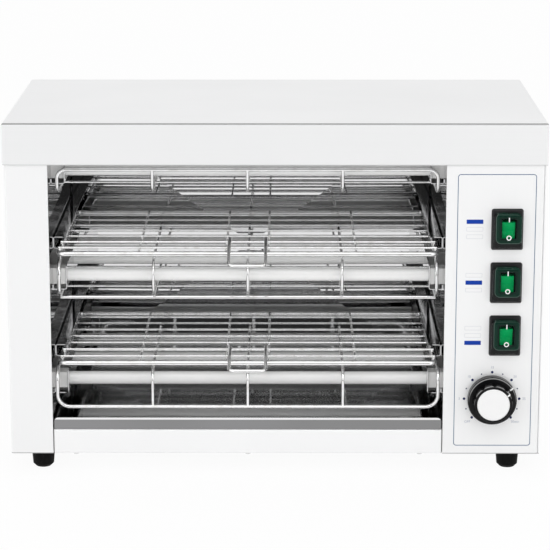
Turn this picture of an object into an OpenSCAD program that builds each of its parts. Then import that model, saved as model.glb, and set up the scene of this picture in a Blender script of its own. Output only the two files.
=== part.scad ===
// Two-level quartz salamander grill. A folded steel casing holds nine quartz tubes behind wire
// guards, two wire racks and a crumb tray that slide out, three rocker switches and a timer.
// +X is right, +Y is back, +Z is up. The table top is z = 0.

/* [Casing] */
// Width across the two side panels
body_w = 527; // [500:1:600]
// Depth of the casing from its front face to its rear face
body_d = 278; // [270:1:330]
// Height of the casing without its feet
body_h = 334.4; // [325:0.2:360]
// Thickness of the casing sheet
sheet_t = 1; // [0.8:0.1:1.2]
// Thickness of the polished sheet inside the cooking space
liner_t = 0.8; // [0.6:0.1:1]
// Outside radius of a folded edge
fold_r = 2; // [1.6:0.1:3]
// Height of the hood's front and side skirts
hood_drop = 41.2; // [38:0.2:50]
// Gap between the hood's skirts and the casing
hood_gap = 0.4; // [0.2:0.1:0.8]
// Width of the wiring box on the left
left_w = 42; // [40:0.5:60]
// Width of the control box on the right
control_w = 96.5; // [92:0.5:120]
// Height of the front sill below the crumb tray
sill_h = 25.2; // [21:0.2:33]
// Gap at each end of the sill
seam_gap = 0.6; // [0.3:0.1:1.2]
// Clear depth between the back of the cooking space and the rear panel
back_space = 26; // [20:1:34]
// Height of the ceiling above the hood's lower edge
ceiling_rise = 3; // [2:0.5:8]
// Rise of the cross break at the middle of the back wall
crease_rise = 3; // [1:0.5:5]
// Gap between the back wall and the side walls
wall_gap = 1.5; // [0.5:0.1:2]
// Width of the flanges that carry the feet
foot_flange = 40; // [30:1:40]
// Width of the rear flanges
rear_flange = 18; // [14:1:24]
// Width of the small folded flanges
lip_w = 14; // [12:1:18]

/* [Fits] */
// Gap between fixed pieces that hook or plug together
fit_gap = 0.3; // [0.2:0.05:0.5]
// Gap under and over a sliding piece
slide_gap = 0.3; // [0.2:0.05:0.5]
// Radial running gap of pins and shafts
pivot_gap = 0.05; // [0.02:0.01:0.1]
// Gap where a wire lies on another wire without being part of it
lay_gap = 0.05; // [0.02:0.01:0.1]
// Depth by which crossing wires sink into each other at a weld
weld = 0.6; // [0.4:0.1:0.8]

/* [Vents] */
// Length of a vent slot
vent_len = 34; // [20:1:50]
// Width of a vent slot
vent_w = 4; // [3:0.5:6]
// Distance between vent slots
vent_pitch = 11; // [9:0.5:14]
// Number of slots in a side panel
side_vents = 6; // [3:1:8]
// Number of slots in each row of the rear panel
rear_vents = 14; // [6:1:18]

/* [Feet] */
// Height of the rubber feet
foot_h = 21; // [14:0.5:26]
// Diameter of a foot at the top
foot_d = 24; // [20:0.5:28]
// Diameter of a foot at the floor
foot_tip_d = 21; // [17:0.5:24]
// Distance of a foot from the side of the casing
foot_in_x = 29; // [26:0.5:29]
// Distance of a foot from the front and the back of the casing
foot_in_y = 28; // [22:1:50]

/* [Heaters] */
// Outer diameter of a quartz tube
tube_d = 13; // [11:0.5:14]
// Wall of a quartz tube
tube_wall = 1.2; // [0.8:0.1:1.8]
// Drop of the top tubes below the hood's lower edge
top_tube_drop = 12.2; // [11.5:0.1:16]
// Height of the bottom tubes above the sill
low_tube_rise = 41; // [38:0.2:48]
// Depth of the front tubes behind the front face
front_tube_y = 44; // [42:1:56]
// Distance between neighbouring tubes of a level
tube_pitch = 74; // [66:1:80]
// Side of the square ceramic end caps
cap_size = 16; // [15.5:0.5:17]
// Distance of the tube brackets from the side walls
bracket_reach = 13; // [12:0.5:16]
// Height of a tube bracket above the tube's axis
bracket_rise = 11; // [9:0.5:11.5]
// Depth of a tube bracket below the tube's axis
bracket_drop = 13; // [12.5:0.5:14]
// Length of a bracket beyond the tubes it carries
bracket_end = 11; // [10:0.5:12]
// Diameter of a cap's neck in the side wall
neck_d = 8; // [6:0.5:10]
// Length of a cap's neck
neck_len = 6; // [4:0.5:10]
// Outer diameter of a heating coil
coil_d = 5; // [4:0.5:7]
// Diameter of a terminal pin
pin_d = 3; // [2.5:0.5:4]
// Length of a terminal pin beyond its neck
pin_out = 8; // [6:0.5:12]

/* [Guards] */
// Wire diameter of the guards' frames
guard_d = 3.8; // [3:0.1:4.2]
// Wire diameter of the guards' bars
bar_d = 3; // [2.4:0.1:3.6]
// Wire diameter of the guards' cross wires
cross_d = 2.4; // [2:0.1:3]
// Height of a guard's upper wires above the tube's axis
guard_over = 17.2; // [16:0.1:18]
// Depth of a guard's lower wires below the tube's axis
guard_under = 20.5; // [19:0.1:22]
// Height of the top guard's front wire above the tube's axis
guard_lip = 2.4; // [1:0.1:4]
// Gap between the upper two guards and the side walls
guard_side = 4.5; // [3:0.1:6]
// Gap between the bottom guard and the side walls
low_side = 2.6; // [2:0.1:6]
// Distance of the upper two guards in front of the front tubes
guard_ahead = 16; // [15.5:0.5:22]
// Distance of the bottom guard in front of the front tubes
low_ahead = 34; // [30:0.5:36]
// Bend radius of the top guard
guard_bend = 9.5; // [6:0.5:10]
// Bend radius of the bottom guard
low_bend = 12; // [8:0.5:14]
// Bend radius of the middle guard's bars
hairpin_r = 15; // [10:0.5:17]
// Number of bars in a guard
guard_bars = 5; // [3:1:7]
// Number of cross wires behind a guard's front
guard_cross = 4; // [2:1:4]
// Distance between those cross wires
guard_pitch = 42; // [36:1:46]
// Reach of a guard's ends behind the back wall
guard_hook = 4; // [3:0.5:8]

/* [Racks] */
// Gap between a rack and the side walls
rack_side = 6; // [5:0.1:7]
// Depth of a rack's front wire behind the front face
rack_front = 6; // [5:0.5:12]
// Wire diameter of a rack's frame
rack_frame_d = 5; // [4:0.1:5.4]
// Wire diameter of a rack's cross wires and stays
rack_wire_d = 2.4; // [2:0.1:3.4]
// Depth by which a rack's stays sink into its cross wires
stay_weld = 0.63; // [0.43:0.1:0.83]
// Distance from the front wire to the first cross wire
rack_first = 14; // [12:0.5:24]
// Distance between the cross wires
rack_pitch = 26; // [20:0.5:28]
// Number of cross wires
rack_wires = 7; // [5:1:7]
// Distance from the last cross wire to the back wire
rack_last = 26; // [12:0.5:28]
// Corner radius of a rack's frame
rack_corner = 6; // [5:0.5:9]
// Distance of the inner stays from the rack's middle
stay_in = 21; // [18:0.5:30]
// Distance of the outer stays from the rack's middle
stay_out = 107; // [90:1:140]
// Height of the upper rack above the middle tubes
upper_rise = 29.7; // [28:0.1:34]
// Height of the lower rack above the bottom tubes
lower_rise = 26; // [25.4:0.1:30]
// Depth of a rack rail from the side wall
rail_w = 12.5; // [12:0.5:15]
// Clear height of a rack rail
rail_h = 10.5; // [9.5:0.5:12]
// Distance of the rails behind the front face
rail_front = 45; // [30:1:60]

/* [Rack handles] */
// Wire diameter of a handle
handle_d = 3.4; // [3:0.1:5]
// Distance of a handle's legs from the rack's middle
handle_half = 18; // [16:0.5:19]
// Distance of a handle's knuckles behind the rack's front wire
knuckle_y = 3; // [1:0.5:10]
// Length of a handle in front of its knuckles
handle_len = 36; // [30:1:50]
// Downward tilt of the upper handle in front of its knuckles
upper_tilt = 17.5; // [4:0.5:18]
// Downward tilt of the lower handle in front of its knuckles
lower_tilt = 8; // [4:0.5:18]
// Extra radius of the knuckles over the handle's wire
knuckle_swell = 0.1; // [0.08:0.01:0.2]
// Bend radius of a handle
handle_bend = 6; // [5:0.5:9]

/* [Crumb tray] */
// Height of the tray's front
tray_h = 11.7; // [9:0.1:13]
// Height of the tray's other walls
tray_wall_h = 7; // [5:0.1:7]
// Depth of the tray
tray_d = 232; // [200:1:240]
// Thickness of the tray's sheet
tray_t = 0.8; // [0.6:0.1:1]
// Gap between the tray and the side walls
tray_side = 1.4; // [0.8:0.1:2.5]
// Diameter of the rolled edge on the tray's front
hem_d = 2.6; // [2:0.1:3.2]
// Corner radius of the tray's front
tray_r = 4; // [3:0.5:4]

/* [Switches] */
// Distance of the switches right of the control face's middle
switch_shift = 11.6; // [0:0.1:14]
// Height of the bottom switch above the timer's shaft
switch_rise = 65; // [56:0.1:72]
// Distance between the switches
switch_pitch = 53.7; // [46:0.1:56]
// Width of a switch's bezel
bezel_w = 31.2; // [31:0.1:34]
// Height of a switch's bezel
bezel_h = 41.1; // [40:0.1:44]
// Thickness of a switch's bezel
bezel_t = 3; // [2.5:0.1:4]
// Corner radius of a switch's bezel
bezel_r = 2.5; // [1.5:0.1:4]
// Width of the sloping sides of a switch's bezel
bezel_slope = 1.5; // [0.5:0.1:1.7]
// Width of a switch's body behind the panel
switch_w = 24; // [23:0.5:26]
// Height of a switch's body behind the panel
switch_h = 31; // [30:0.5:33]
// Depth of a switch's body behind the panel
switch_d = 24; // [20:0.5:30]
// Width of a rocker
rocker_w = 14; // [13:0.1:15.8]
// Half the length of a rocker
rocker_half = 9.4; // [8.5:0.1:10.6]
// Height of a rocker's ends above its pivot
rocker_high = 8.2; // [7:0.1:8.6]
// Depth of the valley in a rocker's face
rocker_valley = 1.5; // [0.5:0.1:2]
// Tilt of a rocker from its middle
rocker_tilt = 7; // [5:0.5:8]
// Depth of a rocker's pivot behind the panel's face
rocker_pivot = 2; // [1.5:0.1:3]
// Diameter of a rocker's pivot pins
rocker_pin_d = 3; // [2.5:0.1:3.5]
// Length of a rocker's pivot pins
rocker_pin_len = 2; // [1.5:0.1:2.2]
// Gap beside a rocker in its pocket
rocker_room = 0.5; // [0.3:0.1:0.8]
// Gap above and below a rocker in its pocket
rocker_swing = 1.8; // [1.5:0.1:2.2]
// Depth of the rocker's pocket behind the panel's face
pocket_d = 11; // [10:0.5:14]
// Gap between a rocker's foot and the bottom of its pocket
rocker_under = 3; // [2.5:0.1:4]
// Width of a switch's splash-proof cover
boot_w = 27.6; // [25:0.1:28]
// Height of a switch's splash-proof cover
boot_h = 34; // [31:0.1:36]
// Rise of a splash-proof cover above its bezel
boot_rise = 7.2; // [6.6:0.1:9]
// Wall of a splash-proof cover
boot_t = 0.8; // [0.6:0.1:1.2]
// Corner radius of a splash-proof cover
boot_r = 5.5; // [4:0.5:6]
// Edge radius of a splash-proof cover
boot_edge = 2.5; // [1.8:0.1:3]
// Length of a switch's spade tabs
tab_len = 9; // [7:0.5:12]
// Width of a spade tab
tab_w = 6.3; // [4.8:0.1:6.3]
// Thickness of a spade tab
tab_t = 0.8; // [0.5:0.1:1]

/* [Timer] */
// Height of the timer's shaft above the casing's underside
timer_rise = 57.2; // [52:0.1:66]
// Width of the timer's body
timer_w = 46; // [40:1:56]
// Height of the timer's body
timer_h = 52; // [44:1:60]
// Depth of the timer's body
timer_d = 34; // [26:1:44]
// Diameter of the timer's shaft
shaft_d = 6; // [5:0.5:8]
// Length of the shaft inside the timer
shaft_in = 22; // [14:1:24]
// Gap round the shaft in the control panel
shaft_room = 2; // [1:0.5:3]
// Diameter of the timer's screws
timer_screw_d = 3; // [2.5:0.5:3.5]
// Distance of the timer's screws from its shaft
timer_screw_r = 13; // [12:0.5:15]
// Diameter of the knob's skirt
skirt_d = 48.6; // [46:0.2:52]
// Thickness of the knob's skirt
skirt_t = 9.4; // [8:0.1:11]
// Diameter of the knob's grip at its foot
grip_d = 40.5; // [38:0.5:42]
// Diameter of the knob's grip at its top
grip_top_d = 38; // [36:0.5:40]
// Distance of the knob's top from the control face
knob_h = 23.4; // [20:0.2:28]
// Gap between the knob and the control face
knob_gap = 0.6; // [0.4:0.1:1]
// Bevel of the knob's edges
knob_edge = 1.2; // [0.8:0.1:1.6]
// Wall of the knob's hub round the shaft
hub_wall = 4; // [3:0.5:5]
// Number of flutes round the knob's grip
flutes = 10; // [6:1:11]
// Diameter of the flutes
flute_d = 10; // [9:0.5:12]
// Depth of the flutes
flute_depth = 1.8; // [1:0.1:2]
// Diameter of the bright cap on the knob
disc_d = 32; // [28:0.5:33]
// Thickness of that cap
disc_t = 1.6; // [1.2:0.1:2.4]
// Angle of the knob's pointer above the horizontal
pointer_angle = 33; // [0:1:90]

/* [Screws] */
// Diameter of the casing screws
screw_d = 4; // [3:0.5:4.5]
// Head diameter of the casing screws
screw_head_d = 7.6; // [6.5:0.1:8.5]
// Head height of the casing screws
screw_head_h = 2.2; // [1.8:0.1:2.6]
// Length of the casing screws
screw_len = 8; // [6:0.5:10]
// Distance of the hood's screws from its front and back
hood_screw_in = 46; // [30:1:70]
// Distance between the sill's screws
sill_screw_pitch = 172; // [120:1:180]

/* [Mains inlet] */
// Outer diameter of the cable gland
gland_d = 20; // [18:0.5:24]
// Bore of the cable gland
gland_bore = 10; // [9:0.5:12]
// Thread diameter of the cable gland
gland_thread_d = 16; // [14.5:0.5:17]
// Reach of the cable gland behind the rear panel
gland_out = 16; // [12:0.5:20]
// Reach of the cable gland inside the rear panel
gland_in = 8; // [7:0.5:14]
// Height of the cable gland above the casing's underside
gland_rise = 40; // [34:1:60]
// Length of the terminal block
block_len = 48; // [36:1:54]
// Width of the terminal block
block_w = 22; // [18:1:26]
// Height of the terminal block
block_h = 20; // [16:1:24]

/* [Hidden] */
$fn = 48;
cut = 1;

x_left = -body_w / 2;
x_right = body_w / 2;
cav_left = x_left + left_w;
cav_right = x_right - control_w;
cav_w = cav_right - cav_left;
cav_x = (cav_left + cav_right) / 2;

z_base = foot_h;
z_top = z_base + body_h;
z_fascia = z_top - hood_drop;
z_sill = z_base + sill_h;
z_ceiling = z_fascia + ceiling_rise;
z_panel = z_top - sheet_t - fold_r;

hood_off = hood_gap + sheet_t;
hood_w = body_w + 2 * hood_off;
hood_d = body_d + 2 * hood_off;
hood_screw_z = z_fascia + hood_drop / 3;

panel_d = body_d - sheet_t;
wall_y = panel_d - back_space;
wall_back = wall_y + liner_t;
base_in = max(fold_r, 2 * sheet_t) + fit_gap;

top_z = z_fascia - top_tube_drop;
low_z = z_sill + low_tube_rise;
mid_z = (top_z + low_z) / 2;
tube_levels = [top_z, mid_z, low_z];
tube_rows = [for (i = [0:2]) front_tube_y + i * tube_pitch];
tube_in = 2;
cap_bore_d = tube_d + 2 * fit_gap;

guard_x = cav_w / 2 - guard_side - guard_d / 2;
low_x = cav_w / 2 - low_side - guard_d / 2;
guard_front = front_tube_y - guard_ahead;
low_front = front_tube_y - low_ahead;
guard_end = wall_back + guard_hook;
guard_ends = [
  [guard_x, top_z - guard_under], [guard_x, mid_z + guard_over], [guard_x, mid_z - guard_under],
  [low_x, low_z + guard_over]
];

rack_w = cav_w - 2 * rack_side;
rack_back = rack_first + (rack_wires - 1) * rack_pitch + rack_last;
rack_half = (rack_w - rack_frame_d) / 2;
upper_z = mid_z + upper_rise;
lower_z = low_z + lower_rise;
cross_z = (rack_frame_d + rack_wire_d) / 2 - weld;
stay_z = cross_z - rack_wire_d + stay_weld;
handle_z = cross_z + (rack_wire_d + handle_d) / 2 + lay_gap;
handle_front = knuckle_y - handle_len * cos(min(upper_tilt, lower_tilt)) - handle_d / 2;
rail_foot = rack_frame_d / 2 + slide_gap;
rail_back = wall_y - 2 * crease_rise * rail_w / cav_w - fit_gap;

face_x = (cav_right + x_right) / 2;
switch_x = face_x + switch_shift;
timer_z = z_base + timer_rise;
switch_heights = [for (i = [2:-1:0]) timer_z + switch_rise + i * switch_pitch];
pocket_w = rocker_w + 2 * rocker_room;
pocket_h = 2 * (rocker_half + rocker_swing);
gland_z = z_base + gland_rise;
gland_x = face_x;

// Front and rear ends of the whole object, so that the middle of its depth is y = 0
front_end = min(rack_front + handle_front, -knob_h);
front_y = -(front_end + body_d + gland_out) / 2;

// Vectors and frames

function unit(v) = v / norm(v);
function side_of(w) = abs(w[2]) < 0.9 ? unit(cross([0, 0, 1], w)) : unit(cross([1, 0, 0], w));
function across(v, w) = unit(v - w * (w * v));
function leg_of(p, i) = unit(p[i + 1] - p[i]);
function turn_at(p, i) = acos(leg_of(p, i - 1) * leg_of(p, i));
function trim_at(p, i, r) = i == 0 || i == len(p) - 1 ? 0 : r * tan(turn_at(p, i) / 2);

module frame_at(o, u, v, w) {
  multmatrix([
    [u[0], v[0], w[0], o[0]],
    [u[1], v[1], w[1], o[1]],
    [u[2], v[2], w[2], o[2]],
    [0, 0, 0, 1]
  ]) children();
}

// A straight round wire from a to b, its section turned to face u
module rod_facing(a, b, d, u) {
  w = unit(b - a);
  frame_at(a, u, cross(w, u), w) cylinder(h = norm(b - a), d = d);
}

module rod(a, b, d) {
  rod_facing(a, b, d, side_of(unit(b - a)));
}

// A round wire along the points p, bent to radius r at each inner point
module wire(p, d, r) {
  for (i = [0:len(p) - 2]) {
    w = leg_of(p, i);
    u = across(leg_of(p, i == 0 ? 1 : i - 1), w);
    rod_facing(p[i] + w * trim_at(p, i, r), p[i + 1] - w * trim_at(p, i + 1, r), d, u);
  }
  for (i = [1:len(p) - 2]) {
    u = leg_of(p, i - 1);
    n = across(leg_of(p, i), u);
    frame_at(p[i] - u * trim_at(p, i, r) + n * r, -n, u, cross(-n, u))
      rotate_extrude(angle = turn_at(p, i)) translate([r, 0]) circle(d = d);
  }
}

// Sections and extrusions

module along_x(x, length) {
  translate([x, 0, 0]) rotate([90, 0, 90]) linear_extrude(length) children();
}

module along_y(y, length) {
  translate([0, y + length, 0]) rotate([90, 0, 0]) linear_extrude(length) children();
}

module fold_corner(r, t, turn) {
  rotate(turn) intersection() {
    difference() {
      circle(r);
      circle(r - t);
    }
    square(r);
  }
}

// Folded angle: web up the Y axis, one leg along X at the bottom
module angle_2d(web, leg, t, r) {
  translate([0, r]) square([t, web - r]);
  translate([r, 0]) square([leg - r, t]);
  translate([r, r]) fold_corner(r, t, 180);
}

// Folded channel: web up the Y axis, legs along X at the bottom and the top
module channel_2d(web, leg_low, leg_high, t, r) {
  translate([0, r]) square([t, web - 2 * r]);
  translate([r, 0]) square([leg_low - r, t]);
  translate([r, web - t]) square([leg_high - r, t]);
  translate([r, r]) fold_corner(r, t, 180);
  translate([r, web - r]) fold_corner(r, t, 90);
}

module arch_2d(w, h, r) {
  square([w, h - r]);
  translate([r, 0]) square([w - 2 * r, h]);
  for (x = [r, w - r]) translate([x, h - r]) circle(r);
}

module round_rect_2d(w, h, r) {
  square([w - 2 * r, h], center = true);
  square([w, h - 2 * r], center = true);
  for (x = [-1, 1], y = [-1, 1]) translate([x * (w / 2 - r), y * (h / 2 - r)]) circle(r);
}

module slot_2d(length, w) {
  square([w, length - w], center = true);
  for (y = [-1, 1]) translate([0, y * (length - w) / 2]) circle(d = w);
}

module lid_block(w, d, h, r) {
  intersection() {
    along_x(0, w) arch_2d(d, h, r);
    along_y(0, d) arch_2d(w, h, r);
  }
}

module mirror_cavity(side) {
  translate([cav_x, 0, 0]) mirror([side < 0 ? 0 : 1, 0, 0]) translate([-cav_x, 0, 0]) children();
}

// Fasteners: the head stands on z = 0 and the shank runs down

module pan_screw(d, head_d, head_h, length) {
  difference() {
    rotate_extrude() polygon([
      [0, 0], [head_d / 2, 0], [head_d / 2, head_h / 3], [head_d / 3, head_h], [0, head_h]
    ]);
    for (a = [0, 90]) rotate(a)
      translate([-head_d / 4, -head_d / 16, head_h / 2]) cube([head_d / 2, head_d / 8, head_h]);
  }
  translate([0, 0, -length]) cylinder(h = length, d = d);
}

module casing_screw() {
  pan_screw(screw_d, screw_head_d, screw_head_h, screw_len);
}

module screw_hole() {
  translate([0, 0, -screw_len - cut]) cylinder(h = 2 * (screw_len + cut), d = screw_d + 2 * fit_gap);
}

module hood_screw_sites(sides) {
  for (s = sides, y = [hood_screw_in, body_d - hood_screw_in])
    translate([s * body_w / 2, y, hood_screw_z]) rotate([0, s * 90, 0]) children();
}

module rear_screw_sites(sides) {
  rows = 3;
  low = z_base + lip_w;
  high = z_fascia - lip_w;
  for (s = sides, i = [0:rows - 1])
    translate([s * (body_w - rear_flange) / 2, body_d, low + i * (high - low) / (rows - 1)])
      rotate([-90, 0, 0]) children();
}

module sill_screw_sites() {
  for (i = [-1:1]) translate([cav_x + i * sill_screw_pitch, lip_w / 2, z_base])
    rotate([180, 0, 0]) children();
}

module foot_sites(sides) {
  for (s = sides, y = [foot_in_y, body_d - foot_in_y])
    translate([s * (body_w / 2 - foot_in_x), y, 0]) children();
}

module foot_hole() {
  translate([0, 0, z_base - cut]) cylinder(h = 2 * sheet_t + 2 * cut, d = screw_d + 2 * fit_gap);
}

// Casing

module hood() {
  color("gainsboro") difference() {
    translate([-hood_w / 2, -hood_off, z_fascia]) lid_block(hood_w, hood_d, hood_drop, fold_r);
    translate([sheet_t - hood_w / 2, sheet_t - hood_off, z_fascia - cut])
      lid_block(hood_w - 2 * sheet_t, hood_d - 2 * sheet_t, hood_drop - sheet_t + cut, fold_r - sheet_t);
    hood_screw_sites([-1, 1]) screw_hole();
  }
}

module side_vent_slots() {
  for (i = [0:side_vents - 1], z = [z_base + body_h / 5, z_fascia - body_h / 5])
    translate([0, panel_d / 2 + (i - (side_vents - 1) / 2) * vent_pitch, z])
      rotate([90, 0, 90]) linear_extrude(4 * sheet_t, center = true) slot_2d(vent_len, vent_w);
}

module left_side_panel() {
  color("gainsboro") difference() {
    union() {
      translate([x_left, 0, z_base]) linear_extrude(z_panel - z_base)
        channel_2d(panel_d, left_w, rear_flange, sheet_t, fold_r);
      translate([x_left, fold_r, z_base]) cube([foot_flange, panel_d - 2 * fold_r, sheet_t]);
    }
    hood_screw_sites([-1]) screw_hole();
    rear_screw_sites([-1]) screw_hole();
    foot_sites([-1]) foot_hole();
    translate([x_left, 0, 0]) side_vent_slots();
  }
}

module right_side_panel() {
  flange_y = lip_w + fit_gap;
  color("gainsboro") difference() {
    union() {
      translate([x_right, panel_d, z_base]) rotate(180) linear_extrude(z_panel - z_base)
        angle_2d(panel_d, rear_flange, sheet_t, fold_r);
      translate([x_right - foot_flange, flange_y, z_base])
        cube([foot_flange, panel_d - fold_r - flange_y, sheet_t]);
    }
    hood_screw_sites([1]) screw_hole();
    rear_screw_sites([1]) screw_hole();
    foot_sites([1]) foot_hole();
    translate([x_right, 0, 0]) side_vent_slots();
  }
}

module control_panel() {
  face_w = control_w - sheet_t;
  color("whitesmoke") difference() {
    translate([x_right - sheet_t, 0, z_base]) rotate(90) linear_extrude(z_panel - z_base)
      angle_2d(face_w, lip_w, sheet_t, fold_r);
    for (z = switch_heights) translate([switch_x, 0, z]) rotate([90, 0, 0])
      linear_extrude(4 * sheet_t, center = true)
        square([switch_w + 2 * fit_gap, switch_h + 2 * fit_gap], center = true);
    translate([face_x, 0, timer_z]) rotate([90, 0, 0])
      cylinder(h = 4 * sheet_t, d = shaft_d + 2 * shaft_room, center = true);
    timer_screw_sites() cylinder(h = 4 * sheet_t, d = timer_screw_d + 2 * fit_gap, center = true);
  }
}

module rear_panel() {
  color("gainsboro") difference() {
    translate([x_left, panel_d, z_base]) cube([body_w, sheet_t, z_panel - z_base]);
    rear_screw_sites([-1, 1]) screw_hole();
    for (i = [0:rear_vents - 1], z = [z_base + body_h / 4, z_fascia - body_h / 5])
      translate([cav_x + (i - (rear_vents - 1) / 2) * 2 * vent_pitch, panel_d, z])
        rotate([90, 0, 0]) linear_extrude(4 * sheet_t, center = true) slot_2d(vent_len, vent_w);
    translate([gland_x, panel_d, gland_z]) rotate([90, 0, 0])
      cylinder(h = 4 * sheet_t, d = gland_thread_d + 2 * fit_gap, center = true);
  }
}

module base_plate() {
  color("silver") difference() {
    translate([x_left + base_in, base_in, z_base + sheet_t])
      cube([body_w - 2 * base_in, panel_d - 2 * base_in, sheet_t]);
    foot_sites([-1, 1]) foot_hole();
    sill_screw_sites() screw_hole();
  }
}

module floor_pan() {
  color("silver") difference() {
    along_x(cav_left + seam_gap, cav_w - 2 * seam_gap)
      translate([0, z_base]) channel_2d(sill_h, lip_w, wall_back + lip_w, sheet_t, fold_r);
    sill_screw_sites() screw_hole();
  }
}

// Cooking space

module side_liner(side) {
  color("lightgray") mirror_cavity(side) difference() {
    translate([cav_left, sheet_t, z_base + 2 * sheet_t])
      linear_extrude(z_ceiling - z_base - 2 * sheet_t) mirror([1, 0])
        channel_2d(wall_back + lip_w - sheet_t, lip_w, lip_w, liner_t, fold_r);
    for (z = tube_levels, y = tube_rows) translate([cav_left, y, z]) rotate([0, 90, 0])
      cylinder(h = 4 * liner_t, d = neck_d + 2 * fit_gap, center = true);
  }
}

module left_liner() {
  side_liner(-1);
}

module right_liner() {
  side_liner(1);
}

// Back wall with a cross break: four flat faces that rise towards the middle
module back_liner() {
  front = [
    [cav_left + wall_gap, wall_y, z_sill], [cav_right - wall_gap, wall_y, z_sill],
    [cav_right - wall_gap, wall_y, z_ceiling], [cav_left + wall_gap, wall_y, z_ceiling],
    [cav_x, wall_y - crease_rise, (z_sill + z_ceiling) / 2]
  ];
  points = concat(front, [for (p = front) p + [0, liner_t, 0]]);
  faces = concat(
    [for (i = [0:3]) [i, 4, (i + 1) % 4]],
    [for (i = [0:3]) [i + 5, (i + 1) % 4 + 5, 9]],
    [for (i = [0:3]) [i, (i + 1) % 4, (i + 1) % 4 + 5, i + 5]]
  );
  color("lightgray") difference() {
    polyhedron(points, faces);
    for (s = [-1, 1], e = guard_ends) translate([cav_x + s * e[0], wall_y, e[1]]) rotate([90, 0, 0])
      cylinder(h = 4 * crease_rise, d = guard_d + 2 * fit_gap, center = true);
  }
}

module ceiling_liner() {
  color("lightgray") translate([cav_left - lip_w, sheet_t + fit_gap, z_ceiling])
    cube([cav_w + 2 * lip_w, wall_back + lip_w - sheet_t - fit_gap, liner_t]);
}

// Channels on the side walls that carry the racks
module rack_rails(side) {
  color("silver") mirror_cavity(side) for (z = [upper_z, lower_z])
    along_y(rail_front, rail_back - rail_front) translate([cav_left, z - rail_foot - liner_t])
      channel_2d(rail_h + 2 * liner_t, rail_w, rail_w, liner_t, fold_r);
}

module left_rack_rails() {
  rack_rails(-1);
}

module right_rack_rails() {
  rack_rails(1);
}

// Heaters

module tube_brackets(side) {
  length = tube_rows[2] - tube_rows[0] + 2 * bracket_end;
  tab = bracket_drop - cap_size / 2 - fit_gap;
  color("silver") mirror_cavity(side) for (z = tube_levels) difference() {
    along_y(front_tube_y - bracket_end, length)
      translate([cav_left + bracket_reach + liner_t, z - bracket_drop]) rotate(90)
        channel_2d(bracket_reach + liner_t, bracket_drop + bracket_rise, tab, liner_t, fold_r);
    for (y = tube_rows) translate([cav_left + bracket_reach, y, z]) rotate([0, 90, 0])
      cylinder(h = 4 * liner_t, d = cap_bore_d, center = true);
  }
}

module left_tube_brackets() {
  tube_brackets(-1);
}

module right_tube_brackets() {
  tube_brackets(1);
}

module quartz_tube(row, z) {
  color("white") translate([cav_left + tube_in, tube_rows[row], z]) rotate([0, 90, 0]) difference() {
    cylinder(h = cav_w - 2 * tube_in, d = tube_d);
    translate([0, 0, -cut]) cylinder(h = cav_w + 2 * cut, d = tube_d - 2 * tube_wall);
  }
}

module heating_coils() {
  color("dimgray") for (z = tube_levels, y = tube_rows)
    translate([cav_left + bracket_reach, y, z]) rotate([0, 90, 0])
      cylinder(h = cav_w - 2 * bracket_reach, d = coil_d);
}

module ceramic_caps(side) {
  color("white") mirror_cavity(side) for (z = tube_levels, y = tube_rows) translate([cav_left, y, z])
    difference() {
      union() {
        translate([0, -cap_size / 2, -cap_size / 2]) cube([bracket_reach, cap_size, cap_size]);
        translate([-neck_len, 0, 0]) rotate([0, 90, 0]) cylinder(h = neck_len, d = neck_d);
      }
      translate([tube_in - fit_gap, 0, 0]) rotate([0, 90, 0]) cylinder(h = bracket_reach, d = cap_bore_d);
      translate([-neck_len - cut, 0, 0]) rotate([0, 90, 0])
        cylinder(h = neck_len + bracket_reach, d = pin_d + 2 * pivot_gap);
    }
}

module left_ceramic_caps() {
  ceramic_caps(-1);
}

module right_ceramic_caps() {
  ceramic_caps(1);
}

module terminal_pins() {
  color("goldenrod") for (side = [-1, 1]) mirror_cavity(side) for (z = tube_levels, y = tube_rows)
    translate([cav_left - neck_len - pin_out, y, z]) rotate([0, 90, 0])
      cylinder(h = neck_len + pin_out + bracket_reach, d = pin_d);
}

// Wire guards. Each is drawn about the middle of the cooking space

function bar_places(half) = [for (i = [1:guard_bars - 2]) half * (2 * i / (guard_bars - 1) - 1)];

// Cross wires on the tube side of a guard's wires at height z
module guard_cross_wires(half, front, z, side) {
  for (i = [1:guard_cross]) {
    y = front + i * guard_pitch;
    rise = side * ((bar_d + cross_d) / 2 - weld);
    rod([-half - guard_d / 4, y, z + rise], [half + guard_d / 4, y, z + rise], cross_d);
  }
}

// A guard with a front face from z_front to z_run and wires that run back at z_run
module angle_guard(half, front, z_front, z_run, side, bend) {
  back = front + guard_cross * guard_pitch + bar_d;
  translate([cav_x, 0, 0]) {
    wire([
      [-half, guard_end, z_run], [-half, front, z_run], [-half, front, z_front],
      [half, front, z_front], [half, front, z_run], [half, guard_end, z_run]
    ], guard_d, bend);
    for (x = bar_places(half))
      wire([[x, front, z_front], [x, front, z_run], [x, back, z_run]], bar_d, bend);
    guard_cross_wires(half, front, z_run, side);
  }
}

module top_guard() {
  color("silver") angle_guard(guard_x, guard_front, top_z + guard_lip, top_z - guard_under, 1, guard_bend);
}

module bottom_guard() {
  color("silver") angle_guard(low_x, low_front, low_z - guard_under, low_z + guard_over, -1, low_bend);
}

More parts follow.
